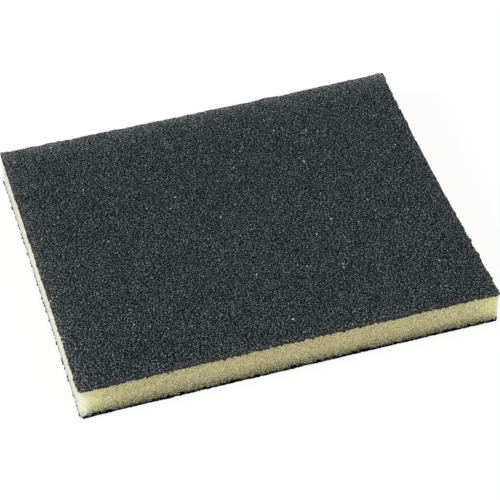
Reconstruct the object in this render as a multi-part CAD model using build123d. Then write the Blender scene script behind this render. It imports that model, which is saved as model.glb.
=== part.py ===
from build123d import *
import os

# A flat sanding sponge: a block of open-cell foam with an abrasive coat bonded to both wide faces.
# One blade cuts the three layers to size together, so they share one outline. Its four sides bow
# inwards a little, as foam does when a blade has squeezed it, and both faces roll over towards the
# cut edge. Each coat follows that roll at an even thickness and ends flush with the foam.
#
# The pad lies flat. +X runs along its length, +Y to its back and +Z up, and the origin is under
# its middle, on the surface that it lies on.

# Driving dimensions, in millimetres.
pad_length = 121.0  # along X, from corner to corner
pad_width = 98.0  # along Y, from corner to corner
foam_thickness = 11.5
coat_thickness = 0.45  # grit and the resin that holds it, alike on both faces
corner_radius = 0.8  # where two cut sides meet
roll_width = 5.0  # how far in from the cut edge a face starts to roll over
roll_drop = 0.45  # how far the face has dropped at the cut edge
front_bow = 0.12  # how far in each side lies at its middle
back_bow = 0.4
left_bow = 0.15
right_bow = 0.8
overreach = 2.0  # how far a tool runs past what it cuts

pad_thickness = foam_thickness + 2 * coat_thickness

def cut_outline():
    """The outline that the blade leaves: four slightly bowed sides and small round corners."""
    x, y = pad_length / 2, pad_width / 2
    corners = [(-x, -y), (x, -y), (x, y), (-x, y)]
    middles = [(0, front_bow - y), (x - right_bow, 0), (0, y - back_bow), (left_bow - x, 0)]
    following = corners[1:] + corners[:1]
    sides = [ThreePointArc(*points) for points in zip(corners, middles, following)]
    outline = make_face(sides)
    return fillet(outline.vertices(), corner_radius)

def rolled_section(span, thickness):
    """A slab's section across one span, centred: level faces that roll over towards both ends."""
    end, top = span / 2, thickness / 2
    rim = top - roll_drop
    past_end = end + overreach
    quarter = Curve() + [
        Line((0, top), (end - roll_width, top)),
        TangentArc((end - roll_width, top), (end, rim), tangent=(1, 0)),
        Line((end, rim), (past_end, rim)),
        Line((past_end, rim), (past_end, 0)),
    ]
    half = quarter + mirror(quarter, Plane.YZ)
    return make_face(half + mirror(half, Plane.XZ))

def rolled_slab(thickness):
    """A slab on the pad's middle plane whose faces roll over on all four sides."""
    along = extrude(Plane.XZ * rolled_section(pad_length, thickness), pad_width, both=True)
    across = extrude(Plane.YZ * rolled_section(pad_width, thickness), pad_length, both=True)
    return along & across

def cut_layers():
    """The foam and its two coats, cut through by one blade and standing on the origin's plane."""
    blade = extrude(cut_outline(), pad_thickness, both=True)
    foam_sheet = rolled_slab(foam_thickness)
    coat_sheets = rolled_slab(pad_thickness) - foam_sheet
    foam = blade & foam_sheet
    lower_coat, upper_coat = (blade & coat_sheets).solids().sort_by(Axis.Z)
    resting = Pos(0, 0, pad_thickness / 2)
    return {
        "foam_core": resting * foam,
        "upper_abrasive_coat": resting * upper_coat,
        "lower_abrasive_coat": resting * lower_coat,
    }

os.makedirs("parts", exist_ok=True)
for name, layer in cut_layers().items():
    export_step(layer, f"parts/{name}.step")
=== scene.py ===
"""Dresses the frame of a flat sanding sponge.

Two grit coats with ragged, rolled rims stand for the plain coats, and a core with cut bubbles in its
sides stands for the plain foam block. Lengths here are in millimetres unless a name says otherwise,
and meshes are turned into metres as they are made.
"""
import logging
import math
from dataclasses import dataclass
from enum import Enum, IntEnum

import bpy
import numpy as np
from mathutils import Matrix, Vector


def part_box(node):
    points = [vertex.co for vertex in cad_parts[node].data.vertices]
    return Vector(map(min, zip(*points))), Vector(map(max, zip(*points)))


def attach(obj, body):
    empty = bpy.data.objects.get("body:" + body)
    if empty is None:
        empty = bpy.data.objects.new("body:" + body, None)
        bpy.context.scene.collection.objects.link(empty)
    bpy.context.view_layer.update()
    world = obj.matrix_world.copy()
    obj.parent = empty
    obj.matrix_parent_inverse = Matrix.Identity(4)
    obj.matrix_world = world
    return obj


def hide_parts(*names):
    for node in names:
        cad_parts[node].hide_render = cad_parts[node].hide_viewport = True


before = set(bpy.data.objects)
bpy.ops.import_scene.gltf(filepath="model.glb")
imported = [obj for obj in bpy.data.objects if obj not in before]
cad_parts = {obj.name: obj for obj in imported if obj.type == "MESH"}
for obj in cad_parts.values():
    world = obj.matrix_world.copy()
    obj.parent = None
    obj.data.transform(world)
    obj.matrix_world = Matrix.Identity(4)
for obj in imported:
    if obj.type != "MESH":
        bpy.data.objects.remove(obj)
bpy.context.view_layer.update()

MM = 0.001
ROOT_BODY = "root"

log = logging.getLogger("sanding_sponge")
Array = np.ndarray


# ---------------------------------------------------------------------------------------- noise

LATTICE_PRIMES = (73856093, 19349663, 83492791)  # one for each axis
SEED_PRIME = 374761393
MIX_SHIFTS = (15, 12, 16)
MIX_FACTOR = 73244475
LARGEST_NUMBER = 0x7FFFFFFF


def lattice_numbers(cells: Array, seed: int) -> Array:
    """Draws a repeatable random number for each whole-number lattice cell.

    Args:
        cells: Whole numbers, with one cell's indices along the last axis.
        seed: Picks one of many independent sets of numbers.

    Returns:
        Numbers from 0 to 1, one for each cell.
    """
    primes = np.array(LATTICE_PRIMES[: cells.shape[-1]], dtype=np.int64)
    mixed = (cells.astype(np.int64) * primes).sum(-1) + seed * SEED_PRIME
    for shift in MIX_SHIFTS:
        mixed = ((mixed >> shift) ^ mixed) * MIX_FACTOR & LARGEST_NUMBER
    return mixed / LARGEST_NUMBER


def ease(share: Array) -> Array:
    """Bends a straight rise from 0 to 1 so that it starts and ends gently."""
    return share * share * (3 - 2 * share)


def smooth_noise(points: Array, grain: float, seed: int) -> Array:
    """Blends lattice numbers into a noise that changes over about one grain.

    Args:
        points: Places, with two or three coordinates along the last axis.
        grain: The lattice's pitch, in the points' unit.
        seed: Picks one of many independent noises.

    Returns:
        Numbers from 0 to 1, one for each point.
    """
    scaled = points / grain
    corner = np.floor(scaled).astype(np.int64)
    inside = scaled - corner
    eased = ease(inside)
    total = np.zeros(points.shape[:-1])
    for step in np.ndindex(*(2,) * points.shape[-1]):
        offset = np.array(step)
        weight = np.where(offset == 1, eased, 1 - eased).prod(-1)
        total += weight * lattice_numbers(corner + offset, seed)
    return total


def ramp(value: Array, low: float, high: float) -> Array:
    """Rises smoothly from 0 at low to 1 at high."""
    return ease(np.clip((value - low) / (high - low), 0, 1))


# ---------------------------------------------------------------------------------- shader graph

class Wire:
    """An output socket that Python's arithmetic turns into Math nodes."""

    def __init__(self, graph: "Graph", socket: bpy.types.NodeSocket) -> None:
        """Wraps one output socket of a graph."""
        self.graph = graph
        self.socket = socket

    def _math(self, operation: str, first: "Wire | float", second: "Wire | float") -> "Wire":
        """Adds one Math node.

        Args:
            operation: The node's operation.
            first: Its first value.
            second: Its second value.

        Returns:
            The node's result.
        """
        return self.graph.wire("ShaderNodeMath", {"operation": operation}, {0: first, 1: second})

    def __add__(self, other: "Wire | float") -> "Wire":
        """Adds."""
        return self._math("ADD", self, other)

    def __radd__(self, other: float) -> "Wire":
        """Adds to a number."""
        return self._math("ADD", other, self)

    def __sub__(self, other: "Wire | float") -> "Wire":
        """Subtracts."""
        return self._math("SUBTRACT", self, other)

    def __rsub__(self, other: float) -> "Wire":
        """Subtracts from a number."""
        return self._math("SUBTRACT", other, self)

    def __mul__(self, other: "Wire | float") -> "Wire":
        """Multiplies."""
        return self._math("MULTIPLY", self, other)

    def __rmul__(self, other: float) -> "Wire":
        """Multiplies a number."""
        return self._math("MULTIPLY", other, self)

    def __pow__(self, other: "Wire | float") -> "Wire":
        """Raises to a power."""
        return self._math("POWER", self, other)

    def __rpow__(self, other: float) -> "Wire":
        """Raises a number to this power."""
        return self._math("POWER", other, self)

    def at_most(self, other: "Wire | float") -> "Wire":
        """Takes the smaller of the two."""
        return self._math("MINIMUM", self, other)

    def at_least(self, other: "Wire | float") -> "Wire":
        """Takes the larger of the two."""
        return self._math("MAXIMUM", self, other)

    def clipped(self) -> "Wire":
        """Keeps the number between 0 and 1."""
        return self.at_least(0.0).at_most(1.0)

    def centred(self) -> "Wire":
        """Shifts numbers from 0 to 1 so that their middle lies at 0."""
        return self - 0.5

    def ramp(self, low: float, high: float) -> "Wire":
        """Rises smoothly from 0 at low to 1 at high.

        Args:
            low: The value that gives 0.
            high: The value that gives 1; below low, the ramp falls instead.

        Returns:
            The ramp's result, from 0 to 1.
        """
        inputs = {
            "Value": self,
            "From Min": min(low, high),
            "From Max": max(low, high),
            "To Min": float(low > high),
            "To Max": float(low < high),
        }
        return self.graph.wire("ShaderNodeMapRange", {"interpolation_type": "SMOOTHSTEP"}, inputs)


Colour = tuple[float, float, float]
Settings = dict[str, object]
Inputs = dict[int | str, Wire | float | tuple]
WHITE: Colour = (1.0, 1.0, 1.0)
MIX_FIRST, MIX_SECOND, MIX_RESULT = 6, 7, 2  # the Mix node's sockets for colours


@dataclass(frozen=True)
class Lumps:
    """A soft noise of lumps with finer layers on them."""

    size: float  # how far apart the lumps are
    layers: float  # how many finer layers there are
    strength: float  # how strong each of them is, as a share of the one before


class Graph:
    """The node tree of one material or world."""

    def __init__(self, tree: bpy.types.ShaderNodeTree) -> None:
        """Empties the tree and takes it over."""
        tree.nodes.clear()
        self.tree = tree

    def add(self, kind: str, settings: Settings, inputs: Inputs) -> bpy.types.Node:
        """Adds one node.

        Args:
            kind: The node's type.
            settings: Its properties, set first; "stops" is a colour ramp's list of (place, colour).
            inputs: Values or wires for its sockets, by name or number.

        Returns:
            The node.
        """
        node = self.tree.nodes.new(kind)
        for name, value in settings.items():
            if name == "stops":
                self._set_stops(node.color_ramp, value)
            else:
                setattr(node, name, value)
        for key, value in inputs.items():
            socket = node.inputs[key]
            if isinstance(value, Wire):
                self.tree.links.new(value.socket, socket)
            elif isinstance(value, tuple) and len(value) == 3 and socket.type == "RGBA":
                socket.default_value = (*value, 1.0)
            else:
                socket.default_value = value
        return node

    @staticmethod
    def _set_stops(target: bpy.types.ColorRamp, stops: list[tuple[float, Colour]]) -> None:
        """Gives a colour ramp its stops.

        Args:
            target: The ramp.
            stops: Places from 0 to 1, rising, each with its colour.
        """
        while len(target.elements) < len(stops):
            target.elements.new(1.0)
        for element, (place, colour) in zip(target.elements, stops):
            element.position = place
            element.color = (*colour, 1.0)

    def wire(self, kind: str, settings: Settings, inputs: Inputs, output: int | str = 0) -> Wire:
        """Adds one node and wraps one of its outputs.

        Args:
            kind: The node's type.
            settings: Its properties.
            inputs: Values or wires for its sockets.
            output: The output's name or number.

        Returns:
            That output.
        """
        return Wire(self, self.add(kind, settings, inputs).outputs[output])

    def place(self) -> Wire:
        """Gives the point on the piece, in metres in the piece's own frame."""
        return self.wire("ShaderNodeTexCoord", {}, {}, "Object")

    def height(self, place: Wire) -> Wire:
        """Gives a point's height in millimetres."""
        return self.wire("ShaderNodeSeparateXYZ", {}, {0: place}, "Z") * (1 / MM)

    def noise(self, place: Wire, lumps: Lumps) -> Wire:
        """Adds a soft noise.

        Args:
            place: Where it is read.
            lumps: Its size and its layers.

        Returns:
            Values from 0 to 1.
        """
        scale = 1 / (lumps.size * MM)
        inputs = {"Vector": place, "Scale": scale, "Detail": lumps.layers, "Roughness": lumps.strength}
        return self.wire("ShaderNodeTexNoise", {}, inputs)

    def cells(self, place: Wire, size: float, output: str, flat: bool = False) -> Wire:
        """Adds a pattern of cells.

        Args:
            place: Where it is read.
            size: How far apart the cells are, in millimetres.
            output: "Distance" from the cell's middle, or "Color", random for each cell.
            flat: Whether the cells lie side by side on a level face, so each one shows its middle.

        Returns:
            That output.
        """
        settings = {"voronoi_dimensions": "2D" if flat else "3D"}
        inputs = {"Vector": place, "Scale": 1 / (size * MM)}
        return self.wire("ShaderNodeTexVoronoi", settings, inputs, output)

    def cell_number(self, place: Wire, size: float) -> Wire:
        """Gives each cell of a pattern a random number from 0 to 1."""
        colour = self.cells(place, size, "Color")
        return self.wire("ShaderNodeSeparateColor", {}, {0: colour})

    def painted(self, name: str) -> Wire:
        """Reads a number that the mesh carries at its points."""
        return self.wire("ShaderNodeAttribute", {"attribute_name": name}, {}, "Fac")

    def colours(self, value: Wire, stops: list[tuple[float, Colour]]) -> Wire:
        """Turns a number from 0 to 1 into a colour."""
        return self.wire("ShaderNodeValToRGB", {"stops": stops}, {0: value})

    def blend(self, share: Wire | float, first: Wire | Colour, second: Wire | Colour,
              mode: str = "MIX") -> Wire:
        """Mixes two colours.

        Args:
            share: 0 gives the first colour, and 1 the second.
            first: The first colour.
            second: The second colour.
            mode: How the second is laid over the first.

        Returns:
            The mixed colour.
        """
        settings = {"data_type": "RGBA", "blend_type": mode}
        inputs = {0: share, MIX_FIRST: first, MIX_SECOND: second}
        return self.wire("ShaderNodeMix", settings, inputs, MIX_RESULT)

    def grey(self, value: Wire) -> Wire:
        """Turns a number into a grey colour."""
        return self.wire("ShaderNodeCombineColor", {}, {0: value, 1: value, 2: value})

    def bump(self, height: Wire, depth: float, strength: float) -> Wire:
        """Adds a relief that only the light sees.

        Args:
            height: The relief, from 0 to 1.
            depth: How deep it is, in millimetres.
            strength: How much of it shows.

        Returns:
            The new normal.
        """
        inputs = {"Strength": strength, "Distance": depth * MM, "Height": height}
        return self.wire("ShaderNodeBump", {}, inputs)

    def surface(self, shader: Wire) -> None:
        """Sends a shader to the material's surface."""
        self.add("ShaderNodeOutputMaterial", {}, {"Surface": shader})


def new_material(name: str) -> tuple[bpy.types.Material, Graph]:
    """Makes an empty material.

    Args:
        name: The material's name.

    Returns:
        The material and its graph.
    """
    material = bpy.data.materials.new(name)
    material.use_nodes = True
    return material, Graph(material.node_tree)


# -------------------------------------------------------------------------------------- finishes

@dataclass(frozen=True)
class GritFinish:
    """Dark mineral grains held in a slate-coloured resin."""

    name: str = "grit_and_resin"
    grain: float = 0.52  # how far apart the grains are
    facet: float = 0.2  # how wide their facets are
    fine_facet: float = 0.11
    tone: float = 0.552  # the tone of a grain's flank
    flank: float = 0.4  # where that lies, from the grain's middle outwards
    grain_contrast: float = 0.68  # how much darker the gaps between the grains are: resin, with painted shade in the deepest gaps
    facet_contrast: float = 0.33
    fine_contrast: float = 0.3
    mottle: Lumps = Lumps(size=3.6, layers=4.0, strength=0.65)
    mottle_share: float = 0.7
    painted_glint: float = 0.45  # how wide the few clean grains are, painted pale as glints for the light they catch
    painted_glint_share: float = 0.0008
    tones: tuple[float, ...] = (0.16, 0.40, 0.58, 0.80, 0.95)  # those of the next five colours
    # painted shade: the darkest colour, in the deepest gaps between the grains
    pit_shade_colour: Colour = (0.0010, 0.0014, 0.0016)
    resin_colour: Colour = (0.0033, 0.0047, 0.0058)
    grain_colour: Colour = (0.0138, 0.0186, 0.0214)
    facet_colour: Colour = (0.083, 0.100, 0.109)
    # painted glint: the palest colour stands for light that facets and clean grains catch
    painted_glint_colour: Colour = (0.55, 0.58, 0.59)
    wear_and_sheen_colour: Colour = (0.100, 0.103, 0.098)
    wear_and_sheen_share: float = 0.3  # how much of the pale colour of wear and painted sheen covers the grains
    wear_and_sheen_lift: float = 0.16  # how much paler the grains themselves become
    clot_and_shade_colour: Colour = (0.034, 0.032, 0.018)  # the resin that has run together at the cut rim, and painted shade on the rim's side
    least_roughness: float = 0.36
    roughness_spread: float = 0.4
    shiny: tuple[float, float] = (0.93, 0.99)  # a facet's number where shine sets in, and is whole
    shine: float = 0.5  # how metallic those facets are
    specular: float = 0.06
    relief_mm: float = 0.12
    relief_strength: float = 0.6
    facet_relief: float = 0.7  # how much of the relief the facets give, and how much the fine ones
    fine_relief: float = 0.3

    def material(self) -> bpy.types.Material:
        """Builds the finish.

        Returns:
            The material.
        """
        material, graph = new_material(self.name)
        place = graph.place()
        grain = graph.cells(place, self.grain, "Distance", flat=True)
        number = graph.cell_number(place, self.facet)
        fine = graph.cell_number(place, self.fine_facet)
        wear_and_sheen = graph.painted("wear_and_sheen")
        # The gaps between the grains turn darker: resin, and painted shade where they are deepest.
        gaps = (self.flank - grain) * self.grain_contrast
        facets = number.centred() * self.facet_contrast + fine.centred() * self.fine_contrast
        tone = (self.tone + gaps + facets + wear_and_sheen * self.wear_and_sheen_lift).at_most(1.0)
        dark_colours = (self.pit_shade_colour, self.resin_colour, self.grain_colour)
        stops = list(zip(self.tones, (*dark_colours, self.facet_colour, self.painted_glint_colour)))
        mottle = graph.noise(place, self.mottle)
        lighter = graph.grey(1 - self.mottle_share / 2 + mottle * self.mottle_share)
        colour = graph.blend(1.0, graph.colours(tone, stops), lighter, "MULTIPLY")
        # Painted glints: a few scattered cells take the glint colour.
        painted_glint = graph.cell_number(place, self.painted_glint).ramp(1 - self.painted_glint_share, 1 - self.painted_glint_share / 2)
        colour = graph.blend(painted_glint, colour, self.painted_glint_colour)
        # Wear and painted sheen pale the grains, most along the back rim.
        colour = graph.blend((wear_and_sheen * self.wear_and_sheen_share).at_most(1.0), colour, self.wear_and_sheen_colour)
        # Clotted resin near the rim, and painted shade on the rim's side.
        colour = graph.blend(graph.painted("clot"), colour, self.clot_and_shade_colour)
        middle = graph.cells(place, self.facet, "Distance")
        fine_middle = graph.cells(place, self.fine_facet, "Distance")
        height = 1 - (middle * self.facet_relief + fine_middle * self.fine_relief)
        shader = graph.wire(
            "ShaderNodeBsdfPrincipled",
            {},
            {
                "Base Color": colour,
                "Roughness": self.least_roughness + self.roughness_spread * fine,
                "Metallic": number.ramp(*self.shiny) * self.shine,
                "Specular IOR Level": self.specular,
                "Normal": graph.bump(height, self.relief_mm, self.relief_strength),
            },
        )
        graph.surface(shader)
        return material


@dataclass(frozen=True)
class Stain:
    """A ragged dark band, of resin and painted shade, that runs from a coat over the cells next to it."""

    start: float  # the unevenness that leaves it at the coat
    reach: float  # how far a whole step of unevenness carries it, in millimetres
    cells: float  # how far single cells stand out from it
    edge: float = 0.25  # how softly it ends

    def cover(self, distance: Wire, run: Wire, number: Wire) -> Wire:
        """Tells where the band covers the foam.

        Args:
            distance: How far a point lies from the coat.
            run: How far the band runs there.
            number: The random number of the point's cell.

        Returns:
            1 inside the band, and 0 outside it.
        """
        return (distance - run - number.centred() * self.cells).ramp(self.edge, 0.0)


@dataclass(frozen=True)
class FoamPoint:
    """What the foam's colour depends on at a point of its sides."""

    above: Wire  # how far it lies above the lower coat
    below: Wire  # how far it lies below the upper coat
    pit: Wire  # how far it lies inside a cut bubble
    pore: Wire  # how far it lies from the middle of the nearest pore
    number: Wire  # that pore's random number
    ragged: Wire  # the unevenness of what has soaked in
    painted_glow: Wire  # how much painted glow it has, for light that comes through the foam: most at the corners and on the short ends
    flat_end: Wire  # 1 on a short end, away from its corners


@dataclass(frozen=True)
class FoamFinish:
    """Cream-yellow open-cell foam, with resin soaked into the cells next to the coats, and painted shade
    there.
    """

    name: str = "cream_foam"
    strut_colour: Colour = (0.768, 0.690, 0.386)
    half_glow_colour: Colour = (0.975, 0.91, 0.475)  # painted glow near a corner, where it is half strong
    # painted glow at the very corners, for light that comes through the foam
    corner_glow_colour: Colour = (0.995, 0.925, 0.62)
    # painted shade inside the pores and cut bubbles
    pore_shade_colour: Colour = (0.13, 0.10, 0.014)
    end_glow_colour: Colour = (0.985, 0.955, 0.71)  # painted glow: paler on the short ends, for light that comes through the foam
    # soaked resin, and painted shade next to the coats
    soaked_and_shaded_colour: Colour = (0.006, 0.005, 0.002)
    pore: float = 0.3  # how far apart the pores are
    fine_pore: float = 0.18
    pore_shade: tuple[float, float] = (0.62, 0.14)  # where a pore's shade sets in, and is whole
    pore_depth: float = 1.8
    pit_depth: float = 0.5
    patch: Lumps = Lumps(size=2.6, layers=3.0, strength=0.6)
    patch_depth: float = 0.16
    glow_paling: float = 0.95  # how much fainter the pores are under the painted glow
    end_return: float = 0.55  # how much of that comes back on the short ends
    ragged: Lumps = Lumps(size=1.1, layers=2.0, strength=0.6)
    glow_power: float = 4.0  # how closely the strongest painted glow keeps to the corners and the ends
    soak_height: float = 6.4  # how far the darkened cells reach above the lower coat
    soak_power: float = 1.5  # how fast they pale on the way up
    soak: float = 0.55
    soak_unevenness: float = 0.8
    glow_soak: float = 0.3  # how much less of it shows under the painted glow
    strongest_glow_soak: float = 0.65  # and how much less under the strongest painted glow
    filling: float = 1.3  # how many pores next to the lower coat are filled with resin
    filling_choice: float = 0.9  # how much that depends on the single pore
    filling_edge: float = 0.3
    filling_depth: float = 1.9
    strongest_glow_filling: float = 0.5  # how many fewer there are under the strongest painted glow
    end_filling: float = 0.3  # and on the short ends
    specks: float = 0.9  # how dark the spots on the short ends' lower part are
    speck_edge: tuple[float, float] = (0.5, 0.66)
    rim_band: Stain = Stain(start=0.1, reach=1.3, cells=1.2)
    band_evenness: float = 0.9  # how much of its raggedness that band loses under the strongest painted glow
    band_pit: float = 0.3  # how deep a pit is that leaves the band's edge where it is
    band_pull: float = 0.9  # how far a pit draws it up
    drips: Stain = Stain(start=0.4, reach=1.3, cells=0.5)
    end_drips: float = 1.7  # how much farther those run on the short ends
    relief_mm: float = 0.14
    relief_strength: float = 0.6
    pore_relief: float = 0.65  # how much of the relief the pores give, and how much the fine ones
    fine_relief: float = 0.35
    roughness: float = 0.85
    resin_smoothness: float = 0.2  # how much smoother the resin is
    specular: float = 0.2
    scatter_share: float = 0.9
    scatter_mm: float = 7.0
    scatter_tint: Colour = (1.0, 0.88, 0.55)
    sheen: float = 0.2  # the pale bloom of the cut struts, seen along the face
    sheen_roughness: float = 0.4
    sheen_tint: Colour = (1.0, 0.99, 0.94)

    def material(self, lowest: float, highest: float) -> bpy.types.Material:
        """Builds the finish.

        Args:
            lowest: The height where the foam meets the lower coat.
            highest: The height where it meets the upper coat.

        Returns:
            The material.
        """
        material, graph = new_material(self.name)
        place = graph.place()
        height = graph.height(place)
        point = FoamPoint(
            above=height - lowest,
            below=highest - height,
            pit=graph.painted("pit"),
            pore=graph.cells(place, self.pore, "Distance"),
            number=graph.cell_number(place, self.pore),
            ragged=graph.noise(place, self.ragged),
            painted_glow=graph.painted("painted_glow"),
            flat_end=graph.painted("end"),
        )
        # Painted glow: the corners and short ends are painted paler, for light that comes through the foam.
        corner_stops = [(0.0, self.strut_colour), (0.5, self.half_glow_colour), (1.0, self.corner_glow_colour)]
        struts = graph.colours(point.painted_glow, corner_stops)
        struts = graph.blend(point.flat_end, struts, self.end_glow_colour)
        hollow = point.pore.ramp(*self.pore_shade) * (self.pore_depth * point.number)
        hollow = hollow + point.pit * self.pit_depth
        patch = graph.noise(place, self.patch).centred() * self.patch_depth
        strength = 1 - self.glow_paling * point.painted_glow + self.end_return * point.flat_end
        # Painted shade: the pores and cut bubbles are painted darker, for the shade inside them.
        colour = graph.blend(((hollow + patch) * strength).clipped(), struts, self.pore_shade_colour)
        soaked_and_shaded = self._soaked_and_shaded(point, hollow)
        # Darker next to the coats: soaked resin, and painted shade towards the table and under the upper
        # rim.
        dark = soaked_and_shaded.at_least(self._band(point)).at_least(self._drips(point)).at_most(1.0)
        fine = graph.cells(place, self.fine_pore, "Distance")
        relief = point.pore * self.pore_relief + fine * self.fine_relief
        shader = graph.wire(
            "ShaderNodeBsdfPrincipled",
            {},
            {
                "Base Color": graph.blend(dark, colour, self.soaked_and_shaded_colour),
                "Roughness": self.roughness - self.resin_smoothness * dark,
                "Specular IOR Level": self.specular,
                "Subsurface Weight": self.scatter_share,
                "Subsurface Radius": self.scatter_tint,
                "Subsurface Scale": self.scatter_mm * MM,
                "Sheen Weight": self.sheen,
                "Sheen Roughness": self.sheen_roughness,
                "Sheen Tint": self.sheen_tint,
                "Normal": graph.bump(relief, self.relief_mm, self.relief_strength),
            },
        )
        graph.surface(shader)
        return material

    def _soaked_and_shaded(self, point: FoamPoint, hollow: Wire) -> Wire:
        """Works out how dark the resin that has soaked up from the lower coat and the painted shade there
        are.

        Args:
            point: The point of the foam.
            hollow: How deep a hollow it lies in.

        Returns:
            How dark it is there, from 0.
        """
        strongest_glow = point.painted_glow**self.glow_power
        depth = (self.soak_height - point.above) * (1 / self.soak_height)
        depth = depth.clipped() ** self.soak_power
        even = self.soak + self.soak_unevenness * point.ragged.centred()
        stain = depth * even * (1 - self.glow_soak * point.painted_glow - self.strongest_glow_soak * strongest_glow)
        filled = (depth * self.filling - point.number * self.filling_choice).ramp(0.0, self.filling_edge)
        filled = filled * (1 - self.strongest_glow_filling * strongest_glow - self.end_filling * point.flat_end)
        specks = depth * point.ragged.ramp(*self.speck_edge) * point.flat_end * self.specks
        return stain + filled * hollow * self.filling_depth + specks

    def _band(self, point: FoamPoint) -> Wire:
        """Tells where the black band of resin and painted shade next to the lower coat covers the foam.

        Args:
            point: The point of the foam.

        Returns:
            1 inside the band, and 0 outside it.
        """
        raggedness = 1 - self.band_evenness * point.painted_glow**self.glow_power
        run = (point.ragged - self.rim_band.start) * self.rim_band.reach * raggedness
        distance = point.above - (point.pit - self.band_pit) * self.band_pull
        return self.rim_band.cover(distance, run, point.number)

    def _drips(self, point: FoamPoint) -> Wire:
        """Tells where resin that has run down from the upper coat, and painted shade under its rim, cover
        the foam.

        Args:
            point: The point of the foam.

        Returns:
            1 inside the drips, and 0 outside them.
        """
        run = (point.ragged - self.drips.start) * (self.drips.reach + self.end_drips * point.flat_end)
        return self.drips.cover(point.below, run, point.number)


@dataclass(frozen=True)
class FloorFinish:
    """A plain pale table that keeps the pad's shadow."""

    name: str = "pale_table"
    bounce: Colour = (0.45, 0.45, 0.44)  # what it throws back at the pad
    seen: Colour = (0.18, 0.18, 0.18)  # its own shade where it is looked at, below the glow
    glow: float = 0.85  # lifts the lit table to white where it is looked at

    def material(self) -> bpy.types.Material:
        """Builds the finish.

        Returns:
            The material.
        """
        material, graph = new_material(self.name)
        looked_at = looked_at_share(graph)
        bounce = graph.wire("ShaderNodeBsdfDiffuse", {}, {"Color": self.bounce})
        seen = graph.wire("ShaderNodeBsdfDiffuse", {}, {"Color": self.seen})
        glow = graph.wire("ShaderNodeEmission", {}, {"Color": WHITE, "Strength": self.glow})
        lifted = graph.wire("ShaderNodeAddShader", {}, {0: seen, 1: glow})
        graph.surface(graph.wire("ShaderNodeMixShader", {}, {0: looked_at, 1: bounce, 2: lifted}))
        return material


def looked_at_share(graph: Graph) -> Wire:
    """Tells rays that look at the background from those that light the pad.

    Args:
        graph: The graph of the floor or the world.

    Returns:
        1 for camera, glossy and transmission rays, and 0 for others.
    """
    path = graph.add("ShaderNodeLightPath", {}, {})
    names = ("Is Camera Ray", "Is Glossy Ray", "Is Transmission Ray")
    camera, glossy, through = (Wire(graph, path.outputs[name]) for name in names)
    return camera.at_least(glossy).at_least(through)


# ---------------------------------------------------------------------------------------- shapes

def mesh_piece(name: str, points: Array, faces: Array | list, smooth: bool) -> bpy.types.Object:
    """Makes a piece from points in millimetres.

    Args:
        name: The piece's name.
        points: Its points, in the pad's frame.
        faces: Rows of point numbers.
        smooth: Whether light turns softly from face to face.

    Returns:
        The piece, linked to the scene.
    """
    mesh = bpy.data.meshes.new(name)
    mesh.from_pydata((points * MM).tolist(), [], [list(map(int, face)) for face in faces])
    mesh.polygons.foreach_set("use_smooth", np.full(len(mesh.polygons), smooth))
    mesh.update()
    piece = bpy.data.objects.new(name, mesh)
    bpy.context.scene.collection.objects.link(piece)
    return piece


def paint(piece: bpy.types.Object, name: str, values: Array) -> None:
    """Stores a number at each point of a piece, for its finish.

    Args:
        piece: The piece.
        name: What the number is called.
        values: One number for each point.
    """
    attribute = piece.data.attributes.new(name, "FLOAT", "POINT")
    attribute.data.foreach_set("value", values.astype(np.float32))


def grid_faces(rows: int, columns: int, closed: bool, flip: Array | None = None) -> Array:
    """Splits a grid of points into triangles.

    Args:
        rows: How many rows of points there are.
        columns: How many points each row has.
        closed: Whether each row's end joins its start.
        flip: For each cell, whether it is split along its other diagonal.

    Returns:
        Rows of three point numbers, turning from the columns' direction towards the rows'.
    """
    last = columns if closed else columns - 1
    row, column = np.meshgrid(np.arange(rows - 1), np.arange(last), indexing="ij")
    following = (column + 1) % columns
    a, b = row * columns + column, row * columns + following
    c, d = (row + 1) * columns + following, (row + 1) * columns + column
    other = np.zeros(a.shape, bool) if flip is None else flip
    first = np.where(other[..., None], np.stack([a, b, d], -1), np.stack([a, b, c], -1))
    second = np.where(other[..., None], np.stack([b, c, d], -1), np.stack([a, c, d], -1))
    return np.concatenate([first.reshape(-1, 3), second.reshape(-1, 3)])


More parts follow.
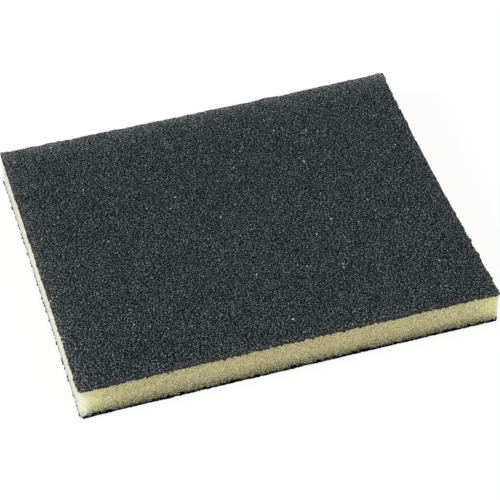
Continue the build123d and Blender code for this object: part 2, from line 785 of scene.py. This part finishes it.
@dataclass(frozen=True)
class PadShape:
    """The outline and the levels that all three layers share, taken from the frame."""

    length: float
    width: float
    thickness: float
    foam_low: float  # the foam's lower and upper face, away from the rim
    foam_high: float
    front_bow: float = 0.12
    back_bow: float = 0.4
    left_bow: float = 0.15
    right_bow: float = 0.8
    corner_radius: float = 0.8
    roll_width: float = 5.0
    roll_drop: float = 0.45

    @classmethod
    def from_frame(cls) -> "PadShape":
        """Reads the sizes from the frame's boxes.

        Returns:
            The shape.
        """
        foam_low, foam_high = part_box("foam_core")
        coat_low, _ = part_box("lower_abrasive_coat")
        _, coat_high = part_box("upper_abrasive_coat")
        size = foam_high - foam_low
        return cls(
            length=size.x / MM,
            width=size.y / MM,
            thickness=(coat_high.z - coat_low.z) / MM,
            foam_low=foam_low.z / MM,
            foam_high=foam_high.z / MM,
        )

    @property
    def half(self) -> Array:
        """Gives half the length and half the width."""
        return np.array([self.length, self.width]) / 2

    def roll(self, flat: Array) -> Array:
        """Tells how far a wide face has dropped near the rim.

        Args:
            flat: Points of the plain rectangle, x and y along the last axis.

        Returns:
            The drop at each point.
        """
        radius = (self.roll_width**2 + self.roll_drop**2) / (2 * self.roll_drop)
        past = np.clip(self.roll_width - (self.half - np.abs(flat)), 0, self.roll_width)
        return (radius - np.sqrt(radius**2 - past**2)).max(-1)

    def bend(self, flat: Array, radius: Array | None = None) -> Array:
        """Moves points of the plain rectangle into the cut outline.

        Args:
            flat: Points of the rectangle, x and y along the last axis.
            radius: The corners' radius at each of them, if not the cut's own.

        Returns:
            Where they go: corners are rounded, and the sides bow inwards.
        """
        corner = self.corner_radius if radius is None else radius[..., None]
        start = self.half - corner
        across = np.clip((np.abs(flat) - start) / corner, 0, None)
        in_corner = (across > 0).all(-1, keepdims=True)
        rounded = start + corner * across * np.sqrt(1 - across[..., ::-1] ** 2 / 2)
        placed = np.where(in_corner, np.sign(flat) * rounded, flat)
        u, v = np.moveaxis(placed / self.half, -1, 0)
        x = placed[..., 0] + (1 - v**2) * (self.left_bow * (1 - u) - self.right_bow * (1 + u)) / 2
        y = placed[..., 1] + (1 - u**2) * (self.front_bow * (1 - v) - self.back_bow * (1 + v)) / 2
        return np.stack([x, y], -1)

    def rim(self, pitch: float) -> Array:
        """Walks anticlockwise round the plain rectangle.

        Args:
            pitch: About how far apart the points are.

        Returns:
            Evenly spaced points, x and y along the last axis.
        """
        x, y = self.half
        along = np.linspace(-x, x, round(self.length / pitch), endpoint=False)
        across = np.linspace(-y, y, round(self.width / pitch), endpoint=False)
        return np.concatenate([
            np.stack([along, np.full(along.shape, -y)], -1),
            np.stack([np.full(across.shape, x), across], -1),
            np.stack([-along, np.full(along.shape, y)], -1),
            np.stack([np.full(across.shape, -x), -across], -1),
        ])

    def edge(self, flat: Array) -> Array:
        """Tells how far points of the plain rectangle lie from its nearest side."""
        return (self.half - np.abs(flat)).min(-1)

    def end_share(self, path: Array, fade: float) -> Array:
        """Tells the two short ends from the long sides.

        Args:
            path: Points of the outline, x and y along the last axis.
            fade: How far from a corner the share falls to about a third, along a long side.

        Returns:
            1 on the ends, and less along the long sides.
        """
        past = self.length / 2 - self.corner_radius - np.abs(path[..., 0])
        return np.exp(-np.clip(past, 0, None) / fade)

    def end_middle(self, path: Array, fade: float, run: float) -> Array:
        """Tells the short ends, without their corners, from the long sides.

        Args:
            path: Points of the outline, x and y along the last axis.
            fade: As for end_share.
            run: How far from a corner the share is whole, along an end.

        Returns:
            1 on the ends, and less towards the corners and along the long sides.
        """
        return self.end_share(path, fade) * ramp(self.width / 2 - np.abs(path[..., 1]), 0, run)

    def inset(self, path: Array, depth: float) -> Array:
        """Draws an outline in towards the middle, by about the depth on every side."""
        return path * (self.half - depth) / self.half


def outward(path: Array) -> Array:
    """Finds the level direction out of a closed path, at each of its points.

    Args:
        path: Points in anticlockwise order, x and y along the last axis.

    Returns:
        Directions one unit long.
    """
    along = np.roll(path, -1, -2) - np.roll(path, 1, -2)
    normal = np.stack([along[..., 1], -along[..., 0]], -1)
    return normal / np.linalg.norm(normal, axis=-1, keepdims=True)


class Side(Enum):
    """Which wide face a coat is on."""

    UPPER = "upper_abrasive_coat"
    LOWER = "lower_abrasive_coat"


class Draw(IntEnum):
    """The independent noises of a coat, each numbered from the coat's own seed."""

    SWELL = 0
    COARSE_RAG = 1
    FINE_RAG = 2
    TEETH = 3
    TOOTH_GROUPS = 4
    WEAR = 5
    CLOTS = 6
    STROLL = 7
    BACK_STROLL = 8


@dataclass(frozen=True)
class GritCoat:
    """A coat of grains in resin, bonded to one wide face, with a ragged rim."""

    shape: PadShape
    side: Side
    seed: int
    least_reach: float  # how far the rim's teeth reach over the foam
    most_reach: float
    pitch: float = 0.36  # how far apart the points of the grainy face are
    wander: float = 0.36  # how far a point strays from its place, as a share of the pitch
    grain_depth: float = 0.34
    grain_spread: tuple[float, float] = (0.8, 0.9)  # the beta law that the grains' depths follow
    swell_depth: float = 0.06  # the soft unevenness that the foam's cells give the coat
    swell: float = 2.2
    rim_relief: float = 0.6  # the share of the relief that is left along the rim
    relief_run: float = 1.0  # how far in from the rim all of it is back
    ragged: float = 0.28  # how far the rim's line wanders inwards
    coarse_rag: float = 1.3  # how far apart its larger and its smaller bends are
    fine_rag: float = 0.5
    fine_share: float = 0.4  # how much of the wander the smaller ones make
    rag_rest: float = 0.35  # the noise that leaves the line where the blade went
    rag_run: float = 1.2  # how far in from the rim the face follows its line
    stroll: float = 0.25  # how far it wanders over longer stretches
    stroll_pitch: float = 3.4
    stroll_rest: float = 0.4
    back_stroll: float = 0.6  # the same at the back, over still longer stretches
    back_pitch: float = 5.5
    notch: float = 0.16  # how far in the rim may lie before the foam's edge shows bare
    tooth: float = 0.7  # how far apart the teeth are
    tooth_even: float = 0.55  # how much of their length changes softly, and how much by chance
    tooth_chance: float = 0.45
    group: float = 3.5  # how long the stretches of longer and shorter teeth are
    group_least: float = 0.8
    group_spread: float = 0.4
    tooth_edge: tuple[float, float] = (0.3, 0.95)  # the noise of the shortest and of the longest tooth
    rim_dent: float = 0.08  # how far points halfway down the rim stray inwards
    tip_stray: float = 0.03
    level_stray: float = 0.05
    lip: float = 0.45  # how far under the coat the rim turns in, and how far below the seam
    lip_drop: float = 0.05
    end_stroll: float = 0.45  # how much more the two short ends' line wanders over longer stretches
    end_tuck: float = 0.0  # how much more it wanders over short ones
    end_bulge: float = 0.0  # the share of that which lies outwards
    end_fine: float = 0.0  # how much more of it is fine
    end_notch: float = 0.3  # how much sooner the foam's edge shows bare there
    end_reach: float = 1.0  # how long the teeth are there, as a share of the others
    end_fade: float = 0.4  # how far past a corner all of these still count
    least_rim_shade: float = 0.0  # how much painted shade lies all along the rim
    clot: float = 0.7  # how far apart the clots are
    clot_edge: tuple[float, float] = (0.4, 0.75)
    clot_run: float = 0.45  # how far in from the rim they reach
    # wear and painted sheen by side: the back rim is painted palest, for light that grazes it
    back_wear_and_sheen: float = 1.0
    left_wear_and_sheen: float = 0.35
    right_wear_and_sheen: float = 0.1
    front_wear_and_sheen: float = 0.05
    wear_fade: float = 3.6  # how far in from a side its wear and painted sheen fall to about a third
    rim_wear: float = 0.25
    rim_wear_fade: float = 1.0
    wear_patch: float = 1.6
    least_patch: float = 0.5  # how worn the least worn patches are, as a share of the middling ones

    def build(self) -> bpy.types.Object:
        """Makes the coat as one closed mesh.

        Returns:
            The piece, with its wear and painted sheen, and its clotted rim and painted rim shade, painted
            on.
        """
        generator = np.random.default_rng(self.seed)
        flat = self._net(generator)
        rows, columns = flat.shape[:2]
        face = self._face(flat, generator)
        ring = self._ring_numbers(rows, columns)
        rim_path = self.shape.bend(flat).reshape(-1, 2)[ring]
        skirt = self._skirt(face.reshape(-1, 3)[ring], rim_path, generator)
        points = np.concatenate([face.reshape(-1, 3), skirt.reshape(-1, 3)])
        below = skirt[..., 0].size
        skirt_numbers = rows * columns + np.arange(below).reshape(-1, len(ring))
        numbers = np.concatenate([ring[None], skirt_numbers])
        strip = numbers.reshape(-1)[grid_faces(len(numbers), len(ring), True)][:, ::-1]
        flip = generator.random((rows - 1, columns - 1)) < 0.5
        triangles = np.concatenate([grid_faces(rows, columns, False, flip), strip])
        faces = [*triangles.tolist(), numbers[-1][::-1].tolist()]
        if self.side is Side.LOWER:
            points[:, 2] = self.shape.thickness - points[:, 2]
            faces = [corners[::-1] for corners in faces]
        piece = mesh_piece(f"grit_of_{self.side.value}", points, faces, smooth=False)
        paint(piece, "wear_and_sheen", np.concatenate([self._wear_and_sheen(flat).reshape(-1), np.zeros(below)]))
        # The rim's side is all painted shade, in the clotted colour.
        paint(piece, "clot", np.concatenate([self._clot_and_shade(flat).reshape(-1), np.ones(below)]))
        return piece

    def _noise(self, points: Array, pitch: float, draw: Draw) -> Array:
        """Gives one of the coat's own noises, from 0 to 1 at each point."""
        return smooth_noise(points, pitch, self.seed + draw)

    def _net(self, generator: np.random.Generator) -> Array:
        """Spreads points over the plain rectangle.

        Args:
            generator: Where the random numbers come from.

        Returns:
            Rows of points, x and y along the last axis, with straight outer rows.
        """
        x, y = self.shape.half
        across = int(self.shape.length / self.pitch)
        along = int(self.shape.width / self.pitch)
        flat = np.stack(np.meshgrid(np.linspace(-x, x, across + 1), np.linspace(-y, y, along + 1)), -1)
        stray = generator.uniform(-1, 1, flat.shape) * self.wander * self.pitch
        stray[[0, -1]] = 0
        stray[:, [0, -1]] = 0
        return flat + stray

    def _face(self, flat: Array, generator: np.random.Generator) -> Array:
        """Raises the grainy face over the plain rectangle.

        Args:
            flat: Points of the plain rectangle.
            generator: Where the random numbers come from.

        Returns:
            The face's points.
        """
        grains = generator.beta(*self.grain_spread, flat.shape[:-1]) * self.grain_depth
        swell = self._noise(flat, self.swell, Draw.SWELL) * self.swell_depth
        inside = ramp(self.shape.edge(flat), 0, self.relief_run)
        relief = (grains + swell) * (self.rim_relief + (1 - self.rim_relief) * inside)
        level = self.shape.thickness - self.shape.roll(flat) - relief
        bent = self.shape.bend(flat)
        return np.concatenate([bent - self._rag(bent), level[..., None]], -1)

    def _rag(self, face: Array) -> Array:
        """Works out how far the points next to the rim are drawn in.

        Args:
            face: Points of the face, x and y along the last axis.

        Returns:
            The shift of each point, x and y along the last axis.
        """
        coarse = self._noise(face, self.coarse_rag, Draw.COARSE_RAG)
        fine = self._noise(face, self.fine_rag, Draw.FINE_RAG)
        long = self._noise(face, self.stroll_pitch, Draw.STROLL) - self.stroll_rest
        slow = self._noise(face, self.back_pitch, Draw.BACK_STROLL) - 0.5
        near = ramp(self.shape.half - np.abs(face), self.rag_run, 0.0)
        end = self.shape.end_share(face, self.end_fade)
        share = self.fine_share + self.end_fine * end
        shift = (1 - share) * coarse + share * fine - self.rag_rest - self.end_bulge * end
        shift *= self.ragged + self.end_tuck * end
        shift += long * (self.stroll + self.end_stroll * end)
        back = slow * self.back_stroll * (face[..., 1] > 0)
        return np.stack([shift, shift + back], -1) * np.sign(face) * near

    @staticmethod
    def _ring_numbers(rows: int, columns: int) -> Array:
        """Lists a grid's outer points, anticlockwise seen from above."""
        table = np.arange(rows * columns).reshape(rows, columns)
        return np.concatenate([table[0, :-1], table[:-1, -1], table[-1, :0:-1], table[:0:-1, 0]])

    def _skirt(self, ring: Array, rim_path: Array, generator: np.random.Generator) -> Array:
        """Makes the rows of points from the rim down over the foam, then in under the coat.

        Args:
            ring: The outer points of the grainy face.
            rim_path: Where the blade cut the foam beside them, x and y along the last axis.
            generator: Where the random numbers come from.

        Returns:
            Rows of points, each as long as the ring.
        """
        shape = self.shape
        out = outward(rim_path)
        count = len(ring)
        seam = shape.foam_high - shape.roll_drop
        even = self._noise(rim_path, self.tooth, Draw.TEETH)
        teeth = even * self.tooth_even + generator.random(count) * self.tooth_chance
        longer = self._noise(rim_path, self.group, Draw.TOOTH_GROUPS)
        teeth *= self.group_least + self.group_spread * longer
        end = shape.end_share(rim_path, self.end_fade)
        most = self.most_reach * (1 + (self.end_reach - 1) * end)
        reach = self.least_reach + (most - self.least_reach) * ramp(teeth, *self.tooth_edge)
        least_notch = self.notch * (1 - self.end_notch * end)
        notch = ramp(((rim_path - ring[:, :2]) * out).sum(1), least_notch, 2 * least_notch)[:, None]
        rim_path = rim_path + (ring[:, :2] - rim_path) * notch
        middle = rim_path - out * generator.uniform(0.0, self.rim_dent, (count, 1))
        tip = rim_path + out * generator.uniform(-self.tip_stray, self.tip_stray, (count, 1))
        halfway = (ring[:, 2] + seam) / 2 + generator.uniform(-self.level_stray, self.level_stray, count)
        rows = [
            np.column_stack([middle, halfway]),
            np.column_stack([tip, seam - reach]),
            np.column_stack([shape.inset(rim_path, self.lip), np.full(count, seam - self.lip_drop)]),
            np.column_stack([shape.inset(rim_path, shape.roll_width), np.full(count, shape.foam_high)]),
        ]
        return np.stack(rows)

    def _wear_and_sheen(self, flat: Array) -> Array:
        """Works out how worn and pale the coat is at each point, with painted sheen strongest at the back.

        Args:
            flat: Points of the plain rectangle.

        Returns:
            The wear and painted sheen, from 0 to nearly 2 in the palest patches.
        """
        x, y = self.shape.half
        sides = [
            (self.back_wear_and_sheen, y - flat[..., 1]),
            (self.front_wear_and_sheen, y + flat[..., 1]),
            (self.left_wear_and_sheen, x + flat[..., 0]),
            (self.right_wear_and_sheen, x - flat[..., 0]),
        ]
        paling = np.max([wear_and_sheen * np.exp(-depth / self.wear_fade) for wear_and_sheen, depth in sides], 0)
        paling += self.rim_wear * np.exp(-self.shape.edge(flat) / self.rim_wear_fade)
        return paling * (self.least_patch + self._noise(flat, self.wear_patch, Draw.WEAR))

    def _clot_and_shade(self, flat: Array) -> Array:
        """Works out how far resin has run together at each point, in spots along the rim, with a least
        amount of painted shade all along it.
        """
        spots = ramp(self._noise(flat, self.clot, Draw.CLOTS), *self.clot_edge)
        return np.maximum(spots, self.least_rim_shade) * ramp(self.shape.edge(flat), self.clot_run, 0.0)

    def dress(self, piece: bpy.types.Object, finish: bpy.types.Material) -> bpy.types.Object:
        """Gives the coat its finish and its place in the frame.

        Args:
            piece: The coat.
            finish: Its material.

        Returns:
            The coat.
        """
        piece.data.materials.append(finish)
        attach(piece, ROOT_BODY)
        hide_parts(self.side.value)
        return piece


@dataclass(frozen=True)
class FoamCore:
    """The foam block, with bubbles cut open in its four sides."""

    shape: PadShape
    pitch: float = 0.24  # how far apart the points along a side are
    rows: int = 48
    bubble_pitch: float = 0.46
    smallest: float = 0.12  # a bubble's radius
    largest: float = 0.27
    bowl: float = 0.55  # how deep a cut bubble is, as a share of its radius
    uneven: float = 0.08  # how far the cut wanders inwards
    uneven_pitch: float = 2.4
    glow_fade: float = 5.0  # how far the painted glow reaches round a corner
    right_glow: float = 0.69  # how much of the painted glow the right end shows
    slack_corner: float = 1.5  # the corners' radius halfway up, where no coat holds the foam
    slackest_corner: float = 4.0  # the same at the front left
    slack_start: float = 0.35  # how far up those are reached, as a share of the height
    end_sag: float = 0.1  # how far the cut edge hangs over the lower coat on the two short ends
    sag_power: int = 4  # how closely the sag keeps to the lower coat
    sag_fade: float = 0.4  # how far past a corner it still counts
    end_fade: float = 0.2  # how far past a corner the ends' own look does
    end_run: float = 3.0  # how far from a corner the ends have their full sag and pores
    seed: int = 31

    def build(self) -> bpy.types.Object:
        """Makes the core as one closed mesh.

        Returns:
            The piece, with its pits and its painted glow painted on.
        """
        shape = self.shape
        square = shape.rim(self.pitch)
        level = np.linspace(shape.foam_low + shape.roll_drop, shape.foam_high - shape.roll_drop, self.rows)
        share = np.linspace(0, 1, self.rows)
        slack = ramp(share, 0, self.slack_start) * ramp(share, 1, 1 - self.slack_start)
        most = np.where((square < 0).all(1), self.slackest_corner, self.slack_corner)
        radius = shape.corner_radius + (most - shape.corner_radius) * slack[:, None]
        path = shape.bend(square, radius)
        near_end = shape.end_middle(path, self.sag_fade, self.end_run)
        sag = self.end_sag * (1 - share[:, None]) ** self.sag_power * near_end
        wall = np.concatenate([path, (level[:, None] - sag)[..., None]], -1)
        pit, depth = self._bubbles(wall)
        depth = depth + smooth_noise(wall, self.uneven_pitch, self.seed) * self.uneven
        wall[..., :2] -= outward(path) * depth[..., None]
        inner = shape.inset(path[0], shape.roll_width)
        count = len(square)
        rings = np.concatenate([
            np.column_stack([inner, np.full(count, shape.foam_low)])[None],
            wall,
            np.column_stack([inner, np.full(count, shape.foam_high)])[None],
        ])
        points = rings.reshape(-1, 3)
        faces = grid_faces(len(rings), count, True).tolist()
        faces.append(list(range(count))[::-1])
        faces.append(list(range(len(points) - count, len(points))))
        piece = mesh_piece("foam_core_block", points, faces, smooth=True)
        paint(piece, "pit", np.concatenate([np.zeros(count), pit.reshape(-1), np.zeros(count)]))
        # Painted glow, for light through the foam: strongest at the corners and the short ends.
        painted_glow = shape.end_share(path[0], self.glow_fade)
        painted_glow *= np.where(path[0, :, 0] > 0, self.right_glow, 1.0)
        flat_end = shape.end_middle(path[0], self.end_fade, self.end_run)
        paint(piece, "painted_glow", np.tile(painted_glow, len(rings)))
        paint(piece, "end", np.tile(flat_end, len(rings)))
        return piece

    def _bubbles(self, wall: Array) -> tuple[Array, Array]:
        """Cuts round bubbles, scattered through the foam, where its sides pass through them.

        Args:
            wall: Points of the sides.

        Returns:
            How far inside a bubble each point is, from 0 to 1, and how deep it lies.
        """
        home = np.floor(wall / self.bubble_pitch).astype(np.int64)
        pit = np.zeros(wall.shape[:-1])
        depth = np.zeros(wall.shape[:-1])
        for step in np.ndindex(3, 3, 3):
            cell = home + np.array(step) - 1
            *spot, chance = (lattice_numbers(cell, self.seed + draw) for draw in range(4))
            radius = self.smallest + (self.largest - self.smallest) * chance
            gap = np.linalg.norm(wall - (cell + np.stack(spot, -1)) * self.bubble_pitch, axis=-1)
            inside = np.clip(1 - (gap / radius) ** 2, 0, 1)
            pit = np.maximum(pit, inside)
            depth = np.maximum(depth, inside * radius * self.bowl)
        return pit, depth

    def dress(self, piece: bpy.types.Object, finish: bpy.types.Material) -> bpy.types.Object:
        """Gives the core its finish and its place in the frame.

        Args:
            piece: The core.
            finish: Its material.

        Returns:
            The core.
        """
        piece.data.materials.append(finish)
        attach(piece, ROOT_BODY)
        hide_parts("foam_core")
        return piece


# ---------------------------------------------------------------------------------------- studio

@dataclass(frozen=True)
class SoftLamp:
    """A square soft lamp that looks at the pad from afar."""

    name: str
    azimuth: float  # degrees from the front, towards the right
    elevation: float  # degrees above the table
    level: float  # how bright a white surface that faces it becomes
    distance_m: float = 1.5
    size_m: float = 0.9
    colour: Colour = WHITE

    def build(self, target: Vector) -> bpy.types.Object:
        """Hangs the lamp.

        Args:
            target: What it looks at, in metres.

        Returns:
            The lamp.
        """
        data = bpy.data.lights.new(self.name, "AREA")
        data.size = self.size_m
        data.energy = self.level * math.pi**2 * self.distance_m**2
        data.color = self.colour
        lamp = bpy.data.objects.new(self.name, data)
        back = direction(self.azimuth, self.elevation)
        lamp.location = target + back * self.distance_m
        lamp.rotation_mode = "QUATERNION"
        lamp.rotation_quaternion = back.to_track_quat("Z", "Y")
        bpy.context.scene.collection.objects.link(lamp)
        return lamp


def direction(azimuth: float, elevation: float) -> Vector:
    """Points from the pad to a place round it.

    Args:
        azimuth: Degrees from the front, towards the right.
        elevation: Degrees above the table.

    Returns:
        The direction, one metre long.
    """
    a, e = math.radians(azimuth), math.radians(elevation)
    return Vector((math.sin(a) * math.cos(e), -math.cos(a) * math.cos(e), math.sin(e)))


@dataclass(frozen=True)
class Studio:
    """The table, the light and the camera."""

    shape: PadShape
    lamps: tuple[SoftLamp, ...] = (
        SoftLamp("left_lamp", azimuth=-84, elevation=28, level=0.80, colour=(0.97, 1.0, 1.02)),
        SoftLamp("right_lamp", azimuth=46, elevation=26, level=0.52),
        SoftLamp("back_lamp", azimuth=168, elevation=20, level=0.20),
    )
    sky: float = 0.35  # how bright the room is, where a white wall is 1
    table_m: float = 8.0
    aim: tuple[float, float, float] = (0.42, -6.68, 6.16)  # what the camera looks at
    azimuth: float = -16.74  # where it stands, as for a lamp
    elevation: float = 45.66
    roll: float = -0.5  # how far it leans over, in degrees
    distance: float = 597.4
    lens_mm: float = 149.4
    sensor_mm: float = 36.0
    nearest_m: float = 0.01  # what it can see
    farthest_m: float = 100.0

    def build(self) -> None:
        """Lays the table, hangs the lamps and sets the camera."""
        middle = Vector((0, 0, self.shape.thickness / 2)) * MM
        self._table()
        self._room()
        for lamp in self.lamps:
            lamp.build(middle)
        self._camera()
        bpy.context.scene.view_settings.view_transform = "Standard"

    def _table(self) -> None:
        """Lays the table that the pad rests on."""
        half = self.table_m / MM / 2
        corners = np.array([[-half, -half, 0], [half, -half, 0], [half, half, 0], [-half, half, 0]])
        table = mesh_piece("table", corners, [[0, 1, 2, 3]], smooth=False)
        table.data.materials.append(FloorFinish().material())

    def _room(self) -> None:
        """Fills the room with even light, and makes it white where it is looked at."""
        world = bpy.data.worlds.new("room")
        world.use_nodes = True
        bpy.context.scene.world = world
        graph = Graph(world.node_tree)
        looked_at = looked_at_share(graph)
        strength = looked_at * (1 - self.sky) + self.sky
        light = graph.wire("ShaderNodeBackground", {}, {"Color": WHITE, "Strength": strength})
        graph.add("ShaderNodeOutputWorld", {}, {"Surface": light})

    def _camera(self) -> None:
        """Sets the camera to look down at the pad from its front left."""
        data = bpy.data.cameras.new("camera")
        data.lens = self.lens_mm
        data.sensor_width = self.sensor_mm
        data.clip_start, data.clip_end = self.nearest_m, self.farthest_m
        camera = bpy.data.objects.new("camera", data)
        back = direction(self.azimuth, self.elevation)
        camera.location = (Vector(self.aim) + back * self.distance) * MM
        camera.rotation_mode = "QUATERNION"
        roll = Matrix.Rotation(math.radians(self.roll), 3, "Z")
        camera.rotation_quaternion = (back.to_track_quat("Z", "Y").to_matrix() @ roll).to_quaternion()
        bpy.context.scene.collection.objects.link(camera)
        bpy.context.scene.camera = camera


# ------------------------------------------------------------------------------------------ main

def report(piece: bpy.types.Object) -> None:
    """Logs a piece's name, size and triangle count.

    Args:
        piece: The piece.
    """
    piece.data.calc_loop_triangles()
    size = [round(value / MM, 2) for value in piece.dimensions]
    log.info("%s: %s mm, %d triangles", piece.name, size, len(piece.data.loop_triangles))


def main() -> None:
    """Builds the studio, the foam core and the two coats."""
    logging.basicConfig(level=logging.INFO, format="%(name)s: %(message)s")
    shape = PadShape.from_frame()
    Studio(shape).build()
    low, high = shape.foam_low + shape.roll_drop, shape.foam_high - shape.roll_drop
    core = FoamCore(shape)
    report(core.dress(core.build(), FoamFinish().material(low, high)))
    upper = GritCoat(
        shape, Side.UPPER, seed=11, least_reach=-0.35, most_reach=1.0, ragged=0.5,
        end_stroll=0.3, end_tuck=1.0, end_bulge=0.15, end_reach=1.9,
    )
    report(upper.dress(upper.build(), GritFinish().material()))
    lower = GritCoat(
        shape, Side.LOWER, seed=23, least_reach=0.25, most_reach=1.3, ragged=0.24, stroll=0.1,
        end_stroll=0.0, end_tuck=0.7, end_bulge=0.1, end_fine=0.6, end_reach=0.3, least_rim_shade=1.0,
    )
    # Painted shade: the lower coat's rim is painted black, for the shadow where it meets the table.
    shaded_black_rim = GritFinish(name="grit_with_shaded_black_rim", clot_and_shade_colour=(0.003, 0.0027, 0.0014), specular=0.0)
    report(lower.dress(lower.build(), shaded_black_rim.material()))


if __name__ == "__main__":
    main()
